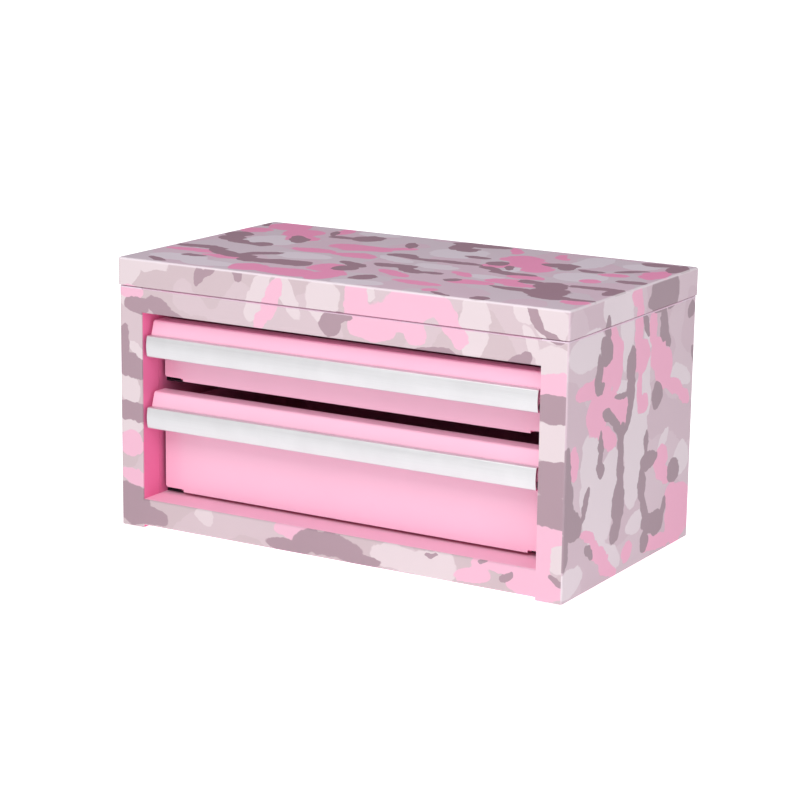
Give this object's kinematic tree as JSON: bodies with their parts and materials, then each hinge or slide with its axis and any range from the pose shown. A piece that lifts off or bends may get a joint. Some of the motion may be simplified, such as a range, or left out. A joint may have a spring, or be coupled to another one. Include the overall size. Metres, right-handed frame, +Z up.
{
  "type": "tool chest",
  "caption": "Small folded sheet-steel tool chest: hinged lid over an open tray, drawers on ball-bearing slides with aluminium pull trims, camouflage outside, gloss pink inside.",
  "frame": {"origin": "middle of the whole chest's footprint, on the surface that its rubber feet stand on", "axes": "+X to the right of someone facing the drawers, +Y towards the hinge at the back, +Z up; drawers open towards -Y"},
  "size_m": [0.2762, 0.1612, 0.1519],
  "materials": {
    "camouflage_paint": "gloss camouflage print under clear coat on the outside, pink enamel inside",
    "pink_enamel": "gloss stoved enamel",
    "trim_aluminium": "satin anodised extrusion",
    "black_ecoat_steel": "thin black electrocoat on rolled steel",
    "zinc_steel": "bright zinc plated",
    "ball_steel": "polished bearing steel",
    "cage_plastic": "moulded acetal",
    "black_rubber": "moulded rubber",
    "mat_foam": "closed-cell foam sheet"
  },
  "bodies": {
    "case": {"case_left_side": "camouflage_paint", "case_right_side": "camouflage_paint", "top_rail": "camouflage_paint", "bottom_rail": "camouflage_paint", "back_panel": "camouflage_paint", "bottom_pan": "pink_enamel", "tray_floor": "pink_enamel", "left_liner": "pink_enamel", "right_liner": "pink_enamel", "tray_mat": "mat_foam", "rubber_feet": "black_rubber", "lid_bumpers": "black_rubber", "hinge_case_leaf": "zinc_steel", "hinge_pin": "zinc_steel", "lower_left_slide_outer": "black_ecoat_steel", "lower_right_slide_outer": "black_ecoat_steel", "upper_left_slide_outer": "black_ecoat_steel", "upper_right_slide_outer": "black_ecoat_steel"},
    "lid": {"lid_shell": "camouflage_paint", "hinge_lid_leaf": "zinc_steel"},
    "lower_drawer": {"lower_drawer_box": "pink_enamel", "lower_drawer_front": "pink_enamel", "lower_drawer_trim": "trim_aluminium", "lower_drawer_mat": "mat_foam", "lower_drawer_rivets": "zinc_steel", "lower_left_slide_inner": "black_ecoat_steel", "lower_right_slide_inner": "black_ecoat_steel"},
    "lower_slide_middles": {"lower_left_slide_middle": "black_ecoat_steel", "lower_right_slide_middle": "black_ecoat_steel"},
    "lower_outer_cages": {"lower_left_outer_cage": "cage_plastic", "lower_left_outer_balls": "ball_steel", "lower_right_outer_cage": "cage_plastic", "lower_right_outer_balls": "ball_steel"},
    "lower_inner_cages": {"lower_left_inner_cage": "cage_plastic", "lower_left_inner_balls": "ball_steel", "lower_right_inner_cage": "cage_plastic", "lower_right_inner_balls": "ball_steel"},
    "upper_drawer": {"upper_drawer_box": "pink_enamel", "upper_drawer_front": "pink_enamel", "upper_drawer_trim": "trim_aluminium", "upper_drawer_mat": "mat_foam", "upper_drawer_rivets": "zinc_steel", "upper_left_slide_inner": "black_ecoat_steel", "upper_right_slide_inner": "black_ecoat_steel"},
    "upper_slide_middles": {"upper_left_slide_middle": "black_ecoat_steel", "upper_right_slide_middle": "black_ecoat_steel"},
    "upper_outer_cages": {"upper_left_outer_cage": "cage_plastic", "upper_left_outer_balls": "ball_steel", "upper_right_outer_cage": "cage_plastic", "upper_right_outer_balls": "ball_steel"},
    "upper_inner_cages": {"upper_left_inner_cage": "cage_plastic", "upper_left_inner_balls": "ball_steel", "upper_right_inner_cage": "cage_plastic", "upper_right_inner_balls": "ball_steel"}
  },
  "joints": [
    {"name": "lid_hinge", "type": "hinge", "parent": "case", "child": "lid", "pos_m": [0, 0.07605, 0.13635], "axis": [-1, 0, 0], "range_deg": [0, 100]},
    {"name": "lower_drawer_slide", "type": "slide", "parent": "case", "child": "lower_drawer", "axis": [0, -1, 0], "range_m": [0, 0.115]},
    {"name": "lower_slide_middles_slide", "type": "slide", "parent": "case", "child": "lower_slide_middles", "axis": [0, -1, 0], "range_m": [0, 0.0575]},
    {"name": "lower_outer_cages_slide", "type": "slide", "parent": "case", "child": "lower_outer_cages", "axis": [0, -1, 0], "range_m": [0, 0.02875]},
    {"name": "lower_inner_cages_slide", "type": "slide", "parent": "case", "child": "lower_inner_cages", "axis": [0, -1, 0], "range_m": [0, 0.08625]},
    {"name": "upper_drawer_slide", "type": "slide", "parent": "case", "child": "upper_drawer", "axis": [0, -1, 0], "range_m": [0, 0.115]},
    {"name": "upper_slide_middles_slide", "type": "slide", "parent": "case", "child": "upper_slide_middles", "axis": [0, -1, 0], "range_m": [0, 0.0575]},
    {"name": "upper_outer_cages_slide", "type": "slide", "parent": "case", "child": "upper_outer_cages", "axis": [0, -1, 0], "range_m": [0, 0.02875]},
    {"name": "upper_inner_cages_slide", "type": "slide", "parent": "case", "child": "upper_inner_cages", "axis": [0, -1, 0], "range_m": [0, 0.08625]}
  ],
  "couplings": [
    {"joint": "lower_slide_middles_slide", "follows": "lower_drawer_slide", "ratio": 0.5},
    {"joint": "lower_outer_cages_slide", "follows": "lower_drawer_slide", "ratio": 0.25},
    {"joint": "lower_inner_cages_slide", "follows": "lower_drawer_slide", "ratio": 0.75},
    {"joint": "upper_slide_middles_slide", "follows": "upper_drawer_slide", "ratio": 0.5},
    {"joint": "upper_outer_cages_slide", "follows": "upper_drawer_slide", "ratio": 0.25},
    {"joint": "upper_inner_cages_slide", "follows": "upper_drawer_slide", "ratio": 0.75}
  ]
}
